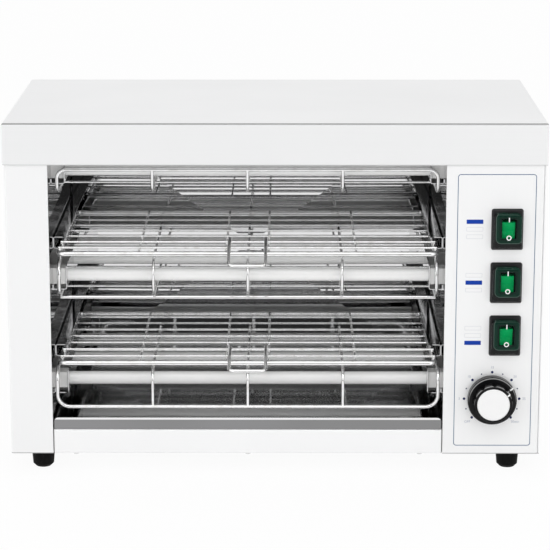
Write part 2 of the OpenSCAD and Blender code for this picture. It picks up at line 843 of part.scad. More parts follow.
module middle_guard() {
  high = mid_z + guard_over;
  low = mid_z - guard_under;
  back = guard_front + guard_cross * guard_pitch + bar_d;
  nose = guard_front + hairpin_r;
  seat = (bar_d + guard_d) / 2 - weld;
  color("silver") translate([cav_x, 0, 0]) {
    for (x = [-guard_x, guard_x]) wire([
      [x, guard_end, high], [x, guard_front, high], [x, guard_front, low], [x, guard_end, low]
    ], guard_d, hairpin_r);
    for (x = bar_places(guard_x)) wire([
      [x, back, high], [x, guard_front, high], [x, guard_front, low], [x, back, low]
    ], bar_d, hairpin_r);
    rod([-guard_x, nose, high + seat], [guard_x, nose, high + seat], bar_d);
    rod([-guard_x, nose, low - seat], [guard_x, nose, low - seat], guard_d);
    guard_cross_wires(guard_x, guard_front, high, -1);
    guard_cross_wires(guard_x, guard_front, low, 1);
  }
}

// Racks

module rack(z) {
  color("silver") translate([cav_x, rack_front, z]) {
    wire([
      [0, 0, 0], [rack_half, 0, 0], [rack_half, rack_back, 0], [-rack_half, rack_back, 0],
      [-rack_half, 0, 0], [0, 0, 0]
    ], rack_frame_d, rack_corner);
    for (i = [0:rack_wires - 1]) {
      y = rack_first + i * rack_pitch;
      end = rack_half + rack_wire_d / 2;
      rod([-end, y, cross_z], [end, y, cross_z], rack_wire_d);
    }
    for (x = [-stay_out, -stay_in, stay_in, stay_out])
      rod([x, 0, stay_z], [x, rack_back, stay_z], rack_wire_d);
  }
}

// Two legs on the rack's cross wires, and a bow that dips in front of two ball-shaped knuckles
module rack_handle(z, tilt) {
  start = rack_first + rack_pitch + handle_d / 2;
  short = handle_d / 10;
  color("silver") translate([cav_x, rack_front, z + handle_z]) {
    for (x = [-handle_half, handle_half]) {
      rod([x, knuckle_y + short, 0], [x, start, 0], handle_d);
      translate([x, knuckle_y, 0]) sphere(handle_d / 2 + knuckle_swell);
    }
    translate([0, knuckle_y, 0]) rotate([tilt, 0, 0]) wire([
      [-handle_half, -short, 0], [-handle_half, -handle_len, 0],
      [handle_half, -handle_len, 0], [handle_half, -short, 0]
    ], handle_d, handle_bend);
  }
}

module crumb_tray() {
  w = cav_w - 2 * tray_side;
  color("silver") translate([cav_left + tray_side, 0, z_sill + slide_gap]) {
    difference() {
      cube([w, tray_d, tray_wall_h]);
      translate([tray_t, tray_t, tray_t]) cube([w - 2 * tray_t, tray_d - 2 * tray_t, tray_h]);
    }
    along_y(0, tray_t) arch_2d(w, tray_h, tray_r);
    translate([tray_r, hem_d / 2, tray_h - hem_d / 2]) rotate([0, 90, 0])
      cylinder(h = w - 2 * tray_r, d = hem_d);
  }
}

// Switches, drawn about the middle of the bezel on the control face

module switch_site(i) {
  translate([switch_x, 0, switch_heights[i]]) children();
}

// Half a bezel's section: upright at its foot, then sloping in
module bezel_2d(w) {
  foot = bezel_t / 4;
  polygon([
    [-w / 2, 0], [w / 2, 0], [w / 2, -foot], [w / 2 - bezel_slope, -bezel_t],
    [bezel_slope - w / 2, -bezel_t], [-w / 2, -foot]
  ]);
}

module bezel() {
  intersection() {
    along_y(-bezel_t, bezel_t) round_rect_2d(bezel_w, bezel_h, bezel_r);
    linear_extrude(bezel_h, center = true) bezel_2d(bezel_w);
    along_x(-bezel_w / 2, bezel_w) rotate(-90) mirror([1, 0]) bezel_2d(bezel_h);
  }
}

module switch_body(i) {
  color("black") switch_site(i) difference() {
    union() {
      bezel();
      along_y(0, switch_d) square([switch_w, switch_h], center = true);
    }
    along_y(-bezel_t - cut, bezel_t + cut + pocket_d) square([pocket_w, pocket_h], center = true);
    translate([0, rocker_pivot, 0]) rotate([0, 90, 0])
      cylinder(
        h = rocker_w + 2 * rocker_pin_len + 2 * fit_gap, d = rocker_pin_d + 2 * pivot_gap, center = true
      );
  }
}

module rocker(i) {
  back = pocket_d - rocker_pivot - rocker_under;
  color("limegreen") switch_site(i) translate([0, rocker_pivot, 0]) rotate([rocker_tilt, 0, 0]) {
    along_x(-rocker_w / 2, rocker_w) polygon([
      [-rocker_high, rocker_half], [rocker_valley - rocker_high, 0], [-rocker_high, -rocker_half],
      [-rocker_pivot, -rocker_half], [back, -rocker_half / 3], [back, rocker_half / 3],
      [-rocker_pivot, rocker_half]
    ]);
    rotate([0, 90, 0]) cylinder(h = rocker_w + 2 * rocker_pin_len, d = rocker_pin_d, center = true);
  }
}

module cover_block(w, h, rise, r, edge) {
  intersection() {
    along_y(-rise, rise) round_rect_2d(w, h, r);
    translate([-w / 2, 0, -h / 2]) linear_extrude(h) mirror([0, 1]) arch_2d(w, rise, edge);
    along_x(-w / 2, w) translate([0, -h / 2]) rotate(90) arch_2d(h, rise, edge);
  }
}

module switch_cover(i) {
  color("darkgreen") switch_site(i) translate([0, -bezel_t, 0]) difference() {
    cover_block(boot_w, boot_h, boot_rise, boot_r, boot_edge);
    translate([0, cut, 0]) cover_block(
      boot_w - 2 * boot_t, boot_h - 2 * boot_t, boot_rise - boot_t + cut, boot_r - boot_t, boot_edge - boot_t
    );
  }
}

module switch_tabs() {
  color("goldenrod") for (i = [0:2], x = [-1, 1], z = [-1, 1]) switch_site(i)
    translate([x * switch_w / 4 - tab_t / 2, switch_d, z * switch_h / 4 - tab_w / 2])
      cube([tab_t, tab_len, tab_w]);
}

// Timer and knob, turned so that the knob's own axis is the control face's normal

module timer_site() {
  translate([face_x, 0, timer_z]) rotate([90, 0, 0]) children();
}

module timer_screw_sites() {
  for (x = [-1, 1]) timer_site() translate([x * timer_screw_r, 0, 0]) children();
}

module timer_body() {
  color("silver") difference() {
    translate([face_x - timer_w / 2, sheet_t, timer_z - timer_h / 2]) cube([timer_w, timer_d, timer_h]);
    timer_site() translate([0, 0, -sheet_t - shaft_in])
      cylinder(h = shaft_in + cut, d = shaft_d + 2 * pivot_gap);
    timer_screw_sites() translate([0, 0, -screw_len])
      cylinder(h = screw_len + cut, d = timer_screw_d + 2 * pivot_gap);
  }
}

module timer_screws() {
  head_h = skirt_t / 4;
  color("silver") timer_screw_sites()
    pan_screw(timer_screw_d, 2 * (timer_screw_d - fit_gap), head_h, screw_len - fit_gap);
}

module timer_shaft() {
  color("silver") timer_site() translate([0, 0, fit_gap - sheet_t - shaft_in])
    cylinder(h = shaft_in + sheet_t + knob_h / 2 - fit_gap, d = shaft_d);
}

module timer_knob() {
  hub_r = shaft_d / 2 + hub_wall;
  hollow = skirt_t / 2;
  color("black") timer_site() rotate(pointer_angle) difference() {
    union() {
      rotate_extrude() polygon([
        [0, knob_gap], [skirt_d / 2, knob_gap], [skirt_d / 2, skirt_t - knob_edge],
        [skirt_d / 2 - knob_edge, skirt_t], [0, skirt_t]
      ]);
      difference() {
        rotate_extrude() polygon([
          [0, skirt_t / 2], [grip_d / 2, skirt_t / 2], [grip_top_d / 2, knob_h - disc_t],
          [grip_top_d / 2 - knob_edge, knob_h - disc_t / 2], [0, knob_h - disc_t / 2]
        ]);
        for (i = [0:flutes - 1]) rotate((i + 0.5) * 360 / flutes)
          translate([grip_d / 2 + flute_d / 2 - flute_depth, 0, skirt_t]) cylinder(h = knob_h, d = flute_d);
      }
    }
    rotate_extrude() translate([hub_r, 0]) square([skirt_d / 2 - 2 * knob_edge - hub_r, knob_gap + hollow]);
    cylinder(h = knob_h / 2 + fit_gap, d = shaft_d + 2 * pivot_gap);
    translate([0, 0, knob_h - disc_t]) cylinder(h = disc_t + cut, d = disc_d + 2 * pivot_gap);
  }
}

module knob_disc() {
  color("whitesmoke") timer_site() translate([0, 0, knob_h - disc_t]) rotate_extrude() polygon([
    [0, 0], [disc_d / 2, 0], [disc_d / 2, disc_t / 2], [disc_d / 2 - disc_t / 2, disc_t], [0, disc_t]
  ]);
}

// Mains inlet

module terminal_block() {
  poles = 3;
  screw_hole_d = 4;
  z = z_base + 2 * sheet_t;
  color("ivory") translate([face_x - block_len / 2, body_d / 2, z]) difference() {
    cube([block_len, block_w, block_h]);
    for (i = [0:poles - 1]) translate([(i + 0.5) * block_len / poles, 0, 0]) {
      for (y = [0.25, 0.75]) translate([0, y * block_w, block_h / 2])
        cylinder(h = block_h, d = screw_hole_d);
      translate([0, -cut, block_h / 2]) rotate([-90, 0, 0])
        cylinder(h = block_w + 2 * cut, d = screw_hole_d);
    }
  }
}

module gland_site() {
  translate([gland_x, panel_d, gland_z]) rotate([-90, 0, 0]) children();
}

module cable_gland() {
  dome = gland_out / 3;
  color("black") gland_site() difference() {
    union() {
      translate([0, 0, -gland_in]) cylinder(h = gland_in + sheet_t + cut, d = gland_thread_d);
      translate([0, 0, sheet_t]) rotate(30) cylinder(h = gland_out / 3, d = gland_d * 2 / sqrt(3), $fn = 6);
      translate([0, 0, sheet_t]) rotate_extrude() polygon([
        [0, 0], [gland_d / 2, 0], [gland_d / 2, gland_out - dome],
        [gland_d / 2 - dome / 2, gland_out], [0, gland_out]
      ]);
    }
    translate([0, 0, -gland_in - cut]) cylinder(h = gland_in + gland_out + 4 * cut, d = gland_bore);
  }
}

module gland_nut() {
  nut_h = 5;
  color("black") gland_site() translate([0, 0, -nut_h]) difference() {
    rotate(30) cylinder(h = nut_h, d = gland_d * 2 / sqrt(3), $fn = 6);
    translate([0, 0, -cut]) cylinder(h = nut_h + 2 * cut, d = gland_thread_d + 2 * pivot_gap);
  }
}

// Feet and fasteners

module rubber_feet() {
  round_r = 3;
  sink = foot_h / 2;
  color("black") foot_sites([-1, 1]) difference() {
    rotate_extrude() {
      polygon([
        [0, 0], [foot_tip_d / 2 - round_r, 0], [foot_tip_d / 2, round_r], [foot_d / 2, foot_h], [0, foot_h]
      ]);
    }
    translate([0, 0, -cut]) cylinder(h = foot_h + 2 * cut, d = screw_d + 2 * fit_gap);
    translate([0, 0, -cut]) cylinder(h = sink + cut, d = screw_head_d + 2 * fit_gap);
  }
}

module foot_screws() {
  length = foot_h / 2 + 2 * sheet_t + screw_d;
  color("silver") foot_sites([-1, 1]) translate([0, 0, foot_h / 2]) rotate([180, 0, 0])
    pan_screw(screw_d, screw_head_d, screw_head_h, length);
}

module hood_screws() {
  color("silver") hood_screw_sites([-1, 1]) translate([0, 0, hood_off]) casing_screw();
}

module rear_screws() {
  color("silver") rear_screw_sites([-1, 1]) casing_screw();
}

module sill_screws() {
  color("silver") sill_screw_sites() casing_screw();
}

module placed() {
  translate([0, front_y, 0]) children();
}

placed() hood();
placed() left_side_panel();
placed() right_side_panel();
placed() control_panel();
placed() rear_panel();
placed() base_plate();
placed() floor_pan();
placed() left_liner();
placed() right_liner();
placed() back_liner();
placed() ceiling_liner();
placed() left_rack_rails();
placed() right_rack_rails();
placed() left_tube_brackets();
placed() right_tube_brackets();
placed() quartz_tube(0, top_z);  // top_front_tube
placed() quartz_tube(1, top_z);  // top_centre_tube
placed() quartz_tube(2, top_z);  // top_rear_tube
placed() quartz_tube(0, mid_z);  // middle_front_tube
placed() quartz_tube(1, mid_z);  // middle_centre_tube
placed() quartz_tube(2, mid_z);  // middle_rear_tube
placed() quartz_tube(0, low_z);  // bottom_front_tube
placed() quartz_tube(1, low_z);  // bottom_centre_tube
placed() quartz_tube(2, low_z);  // bottom_rear_tube
placed() heating_coils();
placed() left_ceramic_caps();
placed() right_ceramic_caps();
placed() terminal_pins();
placed() top_guard();
placed() middle_guard();
placed() bottom_guard();
placed() rack(upper_z);  // upper_rack
placed() rack_handle(upper_z, upper_tilt);  // upper_rack_handle
placed() rack(lower_z);  // lower_rack
placed() rack_handle(lower_z, lower_tilt);  // lower_rack_handle
placed() crumb_tray();
placed() switch_body(0);  // top_switch_body
placed() switch_body(1);  // middle_switch_body
placed() switch_body(2);  // bottom_switch_body
placed() rocker(0);  // top_rocker
placed() rocker(1);  // middle_rocker
placed() rocker(2);  // bottom_rocker
placed() switch_cover(0);  // top_switch_cover
placed() switch_cover(1);  // middle_switch_cover
placed() switch_cover(2);  // bottom_switch_cover
placed() switch_tabs();
placed() timer_body();
placed() timer_shaft();
placed() timer_knob();
placed() knob_disc();
placed() timer_screws();
placed() terminal_block();
placed() cable_gland();
placed() gland_nut();
placed() rubber_feet();
placed() foot_screws();
placed() hood_screws();
placed() rear_screws();
placed() sill_screws();
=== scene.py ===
# Looks of a two-level quartz salamander grill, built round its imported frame. Lengths are in metres.
import math

import bpy
import numpy as np
from mathutils import Matrix, Vector


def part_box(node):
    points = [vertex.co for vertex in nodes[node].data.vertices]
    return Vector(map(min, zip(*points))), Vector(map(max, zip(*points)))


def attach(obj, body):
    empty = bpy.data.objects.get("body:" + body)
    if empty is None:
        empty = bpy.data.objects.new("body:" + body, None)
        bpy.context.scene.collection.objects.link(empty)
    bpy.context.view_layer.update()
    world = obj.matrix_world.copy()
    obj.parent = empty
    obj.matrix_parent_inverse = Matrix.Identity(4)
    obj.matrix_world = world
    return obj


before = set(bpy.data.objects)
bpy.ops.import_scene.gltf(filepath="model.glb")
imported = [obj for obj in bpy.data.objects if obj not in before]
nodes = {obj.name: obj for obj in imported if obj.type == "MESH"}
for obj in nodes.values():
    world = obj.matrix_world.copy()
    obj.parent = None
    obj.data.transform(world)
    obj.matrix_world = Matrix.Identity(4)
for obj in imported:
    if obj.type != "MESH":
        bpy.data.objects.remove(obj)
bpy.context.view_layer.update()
scene = bpy.context.scene
scene.view_settings.view_transform = "Standard"


def nodeMiddle(name):
    low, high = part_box(name)
    return (low + high) / 2


levels = ("top", "middle", "bottom")
sides = ("left", "right")
hoodLow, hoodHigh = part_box("hood")
sillLow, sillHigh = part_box("floor_pan")
trayLow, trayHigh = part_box("crumb_tray")
panelLow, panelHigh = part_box("control_panel")
knobMiddle = nodeMiddle("timer_knob")
knobFoot = Vector((knobMiddle.x, panelLow.y, knobMiddle.z))  # where the knob's axis meets the panel
print("frame loaded:", len(nodes), "nodes")


# Shader maths

class Socket:  # one output of a node tree, which can stand in a Python expression
    def __init__(self, tree, out=None):
        self.tree = tree
        self.out = out

    # adds any node: its settings first, then the values or links of its sockets
    def node(self, kind, settings=None, sockets=None, take=0):
        made = self.tree.nodes.new("ShaderNode" + kind)
        for name, value in (settings or {}).items():
            if name == "stops":  # where a ramp's black ends and its white begins
                for element, place in zip(made.color_ramp.elements, value):
                    element.position = place
            else:
                setattr(made, name, value)
        for name, value in (sockets or {}).items():
            if isinstance(value, Socket):
                self.tree.links.new(value.out, made.inputs[name])
            else:
                made.inputs[name].default_value = value
        return Socket(self.tree, made.outputs[take] if made.outputs else None)

    def others(self):  # every output of the same node
        return self.out.node.outputs

    def combine(self, operation, left, right):
        return self.node("Math", {"operation": operation}, {0: left, 1: right})

    def __add__(self, other):
        return self.combine("ADD", self, other)

    def __radd__(self, other):
        return self.combine("ADD", other, self)

    def __sub__(self, other):
        return self.combine("SUBTRACT", self, other)

    def __rsub__(self, other):
        return self.combine("SUBTRACT", other, self)

    def __mul__(self, other):
        return self.combine("MULTIPLY", self, other)

    def __rmul__(self, other):
        return self.combine("MULTIPLY", other, self)

    def __truediv__(self, other):
        return self.combine("DIVIDE", self, other)

    def __rtruediv__(self, other):
        return self.combine("DIVIDE", other, self)

    def __abs__(self):
        return self.node("Math", {"operation": "ABSOLUTE"}, {0: self})

    def larger(self, other):
        return self.combine("MAXIMUM", self, other)

    def clamped(self):  # kept from 0 to 1
        return self.node("Clamp", None, {0: self})


def startMaterial(name):
    made = bpy.data.materials.new(name)
    made.use_nodes = True
    made.node_tree.nodes.clear()
    return made, Socket(made.node_tree)


def closeMaterial(graph, sockets):
    shader = graph.node("BsdfPrincipled", None, sockets)
    graph.node("OutputMaterial", None, {"Surface": shader})


def places(graph):  # object coordinates, which are the frame's own metres
    return graph.node("TexCoord", None, None, "Object")


def fromCentre(graph, centre):  # places counted from a point
    return graph.node("VectorMath", {"operation": "SUBTRACT"}, {0: places(graph), 1: centre})


def parts(graph, vector):  # a vector's x, y and z
    outs = graph.node("SeparateXYZ", None, {0: vector}).others()
    return [Socket(graph.tree, out) for out in outs]


def axisRadius(graph, vector):  # how far a place is from the axis that runs from front to back
    flat = graph.node("VectorMath", {"operation": "MULTIPLY"}, {0: vector, 1: (1, 0, 1)})
    return graph.node("VectorMath", {"operation": "LENGTH"}, {0: flat}, "Value")


def noise(graph, scale, detail):
    return graph.node("TexNoise", None, {"Vector": places(graph), "Scale": scale, "Detail": detail})


def streaks(graph, scales, detail):  # noise with a scale for each axis, drawn out along the smallest
    drawn = graph.node("Mapping", None, {"Vector": places(graph), "Scale": scales})
    return graph.node("TexNoise", None, {"Vector": drawn, "Scale": 1.0, "Detail": detail})


def patches(graph, scale, span, detail):  # noise drawn apart into bare and full patches
    return graph.node("ValToRGB", {"stops": span}, {0: noise(graph, scale, detail)})


# a colour is written or comes from another node; inputs 6 and 7 and output 2 are Mix's own for colours
def mixColour(graph, share, first, second):
    first, second = [value if isinstance(value, Socket) else (*value, 1) for value in (first, second)]
    return graph.node("Mix", {"data_type": "RGBA"}, {0: share, 6: first, 7: second}, 2)


def bump(graph, height, look):
    sockets = {"Height": height, "Strength": look["bump"], "Distance": look["depth"]}
    return graph.node("Bump", None, sockets)


def beyondSides(point, middle, half):  # how far a point lies beyond a rectangle's sides, across and up
    return [abs(value - place) - reach for value, place, reach in zip(point, middle, half)]


# Sheet steel. Lines of painted light and shade along its bent and cut edges: how wide each is, and the share
# of its colour left there

edgeLightAndShade = {
    "soft": 0.0004, "brightest": 0.98, "fold": (0.0018, 0.42), "glint": (0.0028, 1.08),
    "foot": (0.001, 0.45), "end": (0.0008, 0.25), "skirt": (0.0009, 0.8),
}


# rolled grain and faint smudges, a painted dark reflection inside a painted highlight along the fold, and a
# line of painted shade along each seam. A seam is its line's name, the axis across it and its place on that
# axis
def rolledSteel(name, look, fold=None, shadedSeams=()):
    made, graph = startMaterial(name)
    grain = streaks(graph, look["grain"], detail=4.0)
    smudge = patches(graph, look["smudge"], look["smudgeSpan"], detail=2.0)
    share = grain * look["grainShare"] + smudge * (1 - look["grainShare"])
    colour = mixColour(graph, share, look["pale"], look["dull"])
    place = parts(graph, places(graph))
    lines = [(key, abs(place[axis] - spot)) for key, axis, spot in shadedSeams]
    if fold is not None:
        # a painted highlight along the fold, and inside it a painted dark line standing in for the fold's
        # dark reflection
        away = (place[1] - fold.y).larger(fold.z - place[2])
        lines += [("glint", away), ("fold", away)]
    for key, away in lines:
        reach, left = edgeLightAndShade[key]
        paintedLineShare = ((reach - away) / edgeLightAndShade["soft"]).clamped()
        tint = [min(left * value, edgeLightAndShade["brightest"]) for value in look["dull"]]
        colour = mixColour(graph, paintedLineShare, colour, tint)
    closeMaterial(graph, {
        "Base Color": colour,
        "Metallic": look["metal"],
        "Roughness": look["rough"] + look["spread"] * grain + look["smear"] * smudge,
        "Normal": bump(graph, grain, look),
    })
    return made


satinLook = {
    "pale": (0.88, 0.883, 0.887), "dull": (0.84, 0.843, 0.847), "metal": 0.4,
    "rough": 0.36, "spread": 0.1, "smear": 0.05, "grain": (6, 700, 900), "grainShare": 0.6,
    "smudge": 7, "smudgeSpan": (0.35, 0.7), "bump": 0.04, "depth": 0.0002,
}
# the upright panels and the sill: the same satin steel painted paler, painted light on those faces; the
# upright panels' grain runs up
uprightLitLook = {
    **satinLook, "pale": (0.93, 0.932, 0.935), "dull": (0.9, 0.902, 0.905), "grain": (900, 700, 6),
}
sillLitLook = {**satinLook, "pale": (0.96, 0.962, 0.965), "dull": (0.93, 0.932, 0.935)}
plainLook = {**satinLook, "pale": (0.74, 0.75, 0.76), "dull": (0.66, 0.67, 0.68), "rough": 0.38}


# Polished sheet, nearly a mirror and slightly wavy. A tray, known by its front top edge, is painted dark all
# over as a painted dark reflection on its front wall, brighter again in its floor behind that wall, and given
# a painted highlight in the hem along its top

def mirrorSteel(name, look, edge=None):
    made, graph = startMaterial(name)
    wave = noise(graph, look["wave"], detail=1.0)
    scuff = streaks(graph, look["grain"], detail=3.0)
    haze = patches(graph, look["haze"], look["hazeSpan"], detail=3.0)
    colour = mixColour(graph, haze, look["pale"], look["dull"])
    if edge is not None:
        x, y, z = parts(graph, places(graph))
        behind = ((y - edge.y - look["wall"]) / look["soft"]).clamped()
        hemHighlightShare = ((z - edge.z + look["hemHighlightDepth"]) / look["soft"]).clamped()
        colour = mixColour(graph, behind, colour, look["floor"])
        colour = mixColour(graph, hemHighlightShare, colour, look["hemHighlight"])
    closeMaterial(graph, {
        "Base Color": colour,
        "Metallic": 1.0,
        "Roughness": look["rough"] + look["spread"] * scuff + look["spread"] * haze,
        "Normal": bump(graph, wave, look),
    })
    return made


linerLook = {
    "pale": (0.78, 0.78, 0.785), "dull": (0.73, 0.73, 0.73), "rough": 0.012, "spread": 0.012,
    "grain": (120, 6, 120), "haze": 6, "hazeSpan": (0.4, 0.75), "wave": 4, "bump": 0.02, "depth": 0.004,
}
# side walls and rails: the polished liner steel painted darker, painted shade
sideShadedLook = {**linerLook, "pale": (0.56, 0.56, 0.565), "dull": (0.5, 0.5, 0.5)}
railShadedLook = {**sideShadedLook, "rough": 0.06}
# the tray: its steel painted dark as a dark reflection on the front wall, with a brighter floor and a painted
# highlight on the hem
trayDarkReflectionLook = {
    **linerLook, "pale": (0.28, 0.28, 0.285), "dull": (0.24, 0.24, 0.24), "rough": 0.05,
    "grain": (6, 120, 120), "floor": (0.72, 0.72, 0.725), "hemHighlight": (0.88, 0.88, 0.885),
    "wall": 0.003, "hemHighlightDepth": 0.0022, "soft": 0.0004,
}


# Wire and small metal pieces

def chromedWire(name, look):  # bright plated wire with faint draw lines and dull spots
    made, graph = startMaterial(name)
    spots = patches(graph, look["spots"], look["spotSpan"], detail=4.0)
    draw = noise(graph, look["draw"], detail=2.0)
    closeMaterial(graph, {
        "Base Color": mixColour(graph, spots, look["pale"], look["dull"]),
        "Metallic": 1.0,
        "Roughness": look["rough"] + look["spread"] * spots,
        "Normal": bump(graph, draw, look),
    })
    return made


wireLook = {
    "pale": (0.9, 0.9, 0.905), "dull": (0.74, 0.735, 0.72), "rough": 0.04, "spread": 0.08,
    "spots": 120, "spotSpan": (0.45, 0.8), "draw": 900, "bump": 0.03, "depth": 0.0002,
}
brassLook = {**wireLook, "pale": (0.78, 0.6, 0.28), "dull": (0.62, 0.45, 0.2), "rough": 0.25}
coilLook = {**wireLook, "pale": (0.3, 0.28, 0.26), "dull": (0.16, 0.14, 0.13), "rough": 0.45}
screwLook = {**wireLook, "pale": (0.8, 0.8, 0.8), "dull": (0.66, 0.66, 0.65), "rough": 0.2}


# Quartz and ceramic

def glaze(name, look):  # pale clouded body under a smooth clear skin
    made, graph = startMaterial(name)
    cloud = streaks(graph, look["grain"], detail=3.0)
    closeMaterial(graph, {
        "Base Color": mixColour(graph, cloud, look["pale"], look["dull"]),
        "Roughness": look["rough"] + look["spread"] * cloud,
        "Coat Weight": look["coat"],
        "Coat Roughness": look["coatRough"],
        "Normal": bump(graph, cloud, look),
    })
    return made


quartzLook = {
    "pale": (0.93, 0.93, 0.925), "dull": (0.9, 0.9, 0.89), "rough": 0.25, "spread": 0.1,
    "coat": 0.5, "coatRough": 0.08, "grain": (8, 260, 260), "bump": 0.02, "depth": 0.0005,
}
ceramicLook = {
    **quartzLook, "pale": (0.97, 0.968, 0.96), "dull": (0.94, 0.935, 0.92), "grain": (160, 160, 160),
    "bump": 0.05,
}


# Plastic and rubber

def mouldedPlastic(name, look):  # a fine moulded skin with worn patches
    made, graph = startMaterial(name)
    skin = noise(graph, look["skin"], detail=3.0)
    worn = patches(graph, look["worn"], look["wornSpan"], detail=3.0)
    closeMaterial(graph, {
        "Base Color": mixColour(graph, worn, look["pale"], look["dull"]),
        "Roughness": look["rough"] + look["spread"] * skin + look["spread"] * worn,
        "Specular IOR Level": look["gloss"],
        "Normal": bump(graph, skin, look),
    })
    return made


blackLook = {
    "pale": (0.014, 0.014, 0.015), "dull": (0.024, 0.024, 0.025), "rough": 0.26, "spread": 0.08,
    "gloss": 0.22, "skin": 2600, "worn": 90, "wornSpan": (0.45, 0.8), "bump": 0.06, "depth": 0.0002,
}
rubberLook = {
    **blackLook, "pale": (0.004, 0.004, 0.004), "dull": (0.008, 0.008, 0.008), "rough": 0.6,
    "gloss": 0.1, "skin": 1800, "bump": 0.15,
}
nylonLook = {**blackLook, "rough": 0.42}
paleLook = {**blackLook, "pale": (0.8, 0.78, 0.72), "dull": (0.7, 0.67, 0.6), "rough": 0.4}
greenLook = {
    **blackLook, "pale": (0.0, 0.44, 0.12), "dull": (0.0, 0.39, 0.1), "rough": 0.3, "gloss": 0.1,
    "bump": 0.02,
}


# glossy moulding with painted glints: pale lines, a painted highlight, on its upper side along edges given as
# radius and height over the panel
def knobPaintedGlints(name, look, foot):
    made, graph = startMaterial(name)
    shifted = fromCentre(graph, foot)
    x, y, z = parts(graph, shifted)
    height = 0 - y
    radius = axisRadius(graph, shifted)
    # painted highlight only on the upper side, where the light falls
    litSide = ((z - look["glintFrom"]) / look["glintOver"]).clamped()
    skin = noise(graph, look["skin"], detail=3.0)
    worn = patches(graph, look["worn"], look["wornSpan"], detail=3.0)
    colour = mixColour(graph, worn, look["pale"], look["dull"])
    for edgeRadius, edgeHeight in look["edges"]:
        away = abs(radius - edgeRadius).larger(abs(height - edgeHeight))
        paintedGlint = (1 - away / look["glintWide"]).clamped()
        colour = mixColour(graph, paintedGlint * litSide, colour, look["paintedGlint"])
    closeMaterial(graph, {
        "Base Color": colour,
        "Roughness": look["rough"] + look["spread"] * skin,
        "Specular IOR Level": look["gloss"],
        "Normal": bump(graph, skin, look),
    })
    return made


knobLook = {
    **blackLook, "pale": (0.005, 0.005, 0.0055), "dull": (0.009, 0.009, 0.01), "rough": 0.12, "gloss": 0.16,
    "edges": [(0.0232, 0.0092), (0.019, 0.0217)], "glintWide": 0.0006, "paintedGlint": (0.42, 0.42, 0.42),
    "glintFrom": -0.002, "glintOver": 0.014,
}


def spunDisc(name, look, centre):  # turned rings about the knob's axis
    made, graph = startMaterial(name)
    radius = axisRadius(graph, fromCentre(graph, centre))
    wave = graph.node("Math", {"operation": "SINE"}, {0: radius * look["ring"]}) / 2 + 0.5  # from 0 to 1
    streak = noise(graph, look["streak"], detail=2.0)
    rings = wave * (1 - look["streakShare"]) + streak * look["streakShare"]
    closeMaterial(graph, {
        "Base Color": mixColour(graph, rings, look["pale"], look["dull"]),
        "Metallic": look["metal"],
        "Roughness": look["rough"] + look["spread"] * rings,
        "Normal": bump(graph, rings, look),
    })
    return made


discLook = {
    "pale": (0.92, 0.92, 0.92), "dull": (0.87, 0.87, 0.87), "metal": 0.35, "rough": 0.3, "spread": 0.1,
    "ring": 5200, "streak": 900, "streakShare": 0.5, "bump": 0.03, "depth": 0.0002,
}


# soft switch cover: clear in a window over the rocker, green round it with painted shade that is darkest next
# to the window, black outside its raised pad, and a painted highlight along the pad's lip
def coverPaintedShade(name, look, centre):
    made, graph = startMaterial(name)
    x, y, z = parts(graph, fromCentre(graph, centre))
    across, up = beyondSides((x, z), look["window"], look["half"])
    away = across.larger(up)
    straight = [value - look["padCorner"] for value in look["padHalf"]]
    across, up = [value.larger(0.0) for value in beyondSides((x, z), look["pad"], straight)]
    beyond = graph.node("Math", {"operation": "SQRT"}, {0: across * across + up * up}) - look["padCorner"]
    haze = noise(graph, look["haze"], detail=3.0)
    # painted shade: the green is darkest at the window and lighter towards the rim
    colour = mixColour(graph, (away / look["fade"]).clamped(), look["shadedGreen"], look["rim"])
    colour = mixColour(graph, (beyond / look["soft"]).clamped(), colour, look["border"])
    # painted highlight: a pale line along the pad's lip
    colour = mixColour(graph, (1 - abs(beyond) / look["lipHighlightWide"]).clamped(), colour, look["lipHighlight"])
    closeMaterial(graph, {
        "Base Color": colour,
        "Roughness": look["rough"] + look["spread"] * haze,
        "Alpha": look["clear"] + (look["dense"] - look["clear"]) * (away / look["soft"]).clamped(),
        "Specular IOR Level": look["gloss"],
        "Normal": bump(graph, haze, look),
    })
    return made


coverLook = {
    "shadedGreen": (0.001, 0.009, 0.006), "rim": (0.003, 0.034, 0.02), "border": (0.011, 0.012, 0.012),
    "lipHighlight": (0.1, 0.125, 0.115), "rough": 0.1, "spread": 0.08, "gloss": 0.16, "clear": 0.05, "dense": 0.92,
    "window": (0.001, 0.0024), "half": (0.0066, 0.0091), "soft": 0.0008, "fade": 0.0055,
    "pad": (0.0012, 0.0029), "padHalf": (0.0128, 0.0151), "padCorner": 0.005, "lipHighlightWide": 0.0004,
    "haze": 300, "bump": 0.04, "depth": 0.0003,
}


# Inks

inkLook = {"fleck": 1500, "mottle": 0.3, "fade": 0.95, "lift": 0.02, "rough": 0.4, "spread": 0.1}


def ink(name, colour, gloss):  # a printed colour with flecks of itself faded
    made, graph = startMaterial(name)
    fleck = noise(graph, inkLook["fleck"], detail=2.0)
    faded = [inkLook["fade"] * value + inkLook["lift"] for value in colour]
    closeMaterial(graph, {
        "Base Color": mixColour(graph, fleck * inkLook["mottle"], colour, faded),
        "Roughness": inkLook["rough"] + inkLook["spread"] * fleck,
        "Specular IOR Level": gloss,
    })
    return made


borderInk = ink("borderInk", (0.006, 0.07, 0.19), 0.1)
blueInk = ink("blueInk", (0.004, 0.045, 0.35), 0.1)
paleInk = ink("paleInk", (0.7, 0.71, 0.74), 0.2)
dotInk = ink("dotInk", (0.005, 0.014, 0.085), 0.1)
labelInk = ink("labelInk", (0.42, 0.45, 0.53), 0.2)
whiteInk = ink("whiteInk", (0.9, 0.9, 0.9), 0.5)


# Finishes on the frame's nodes

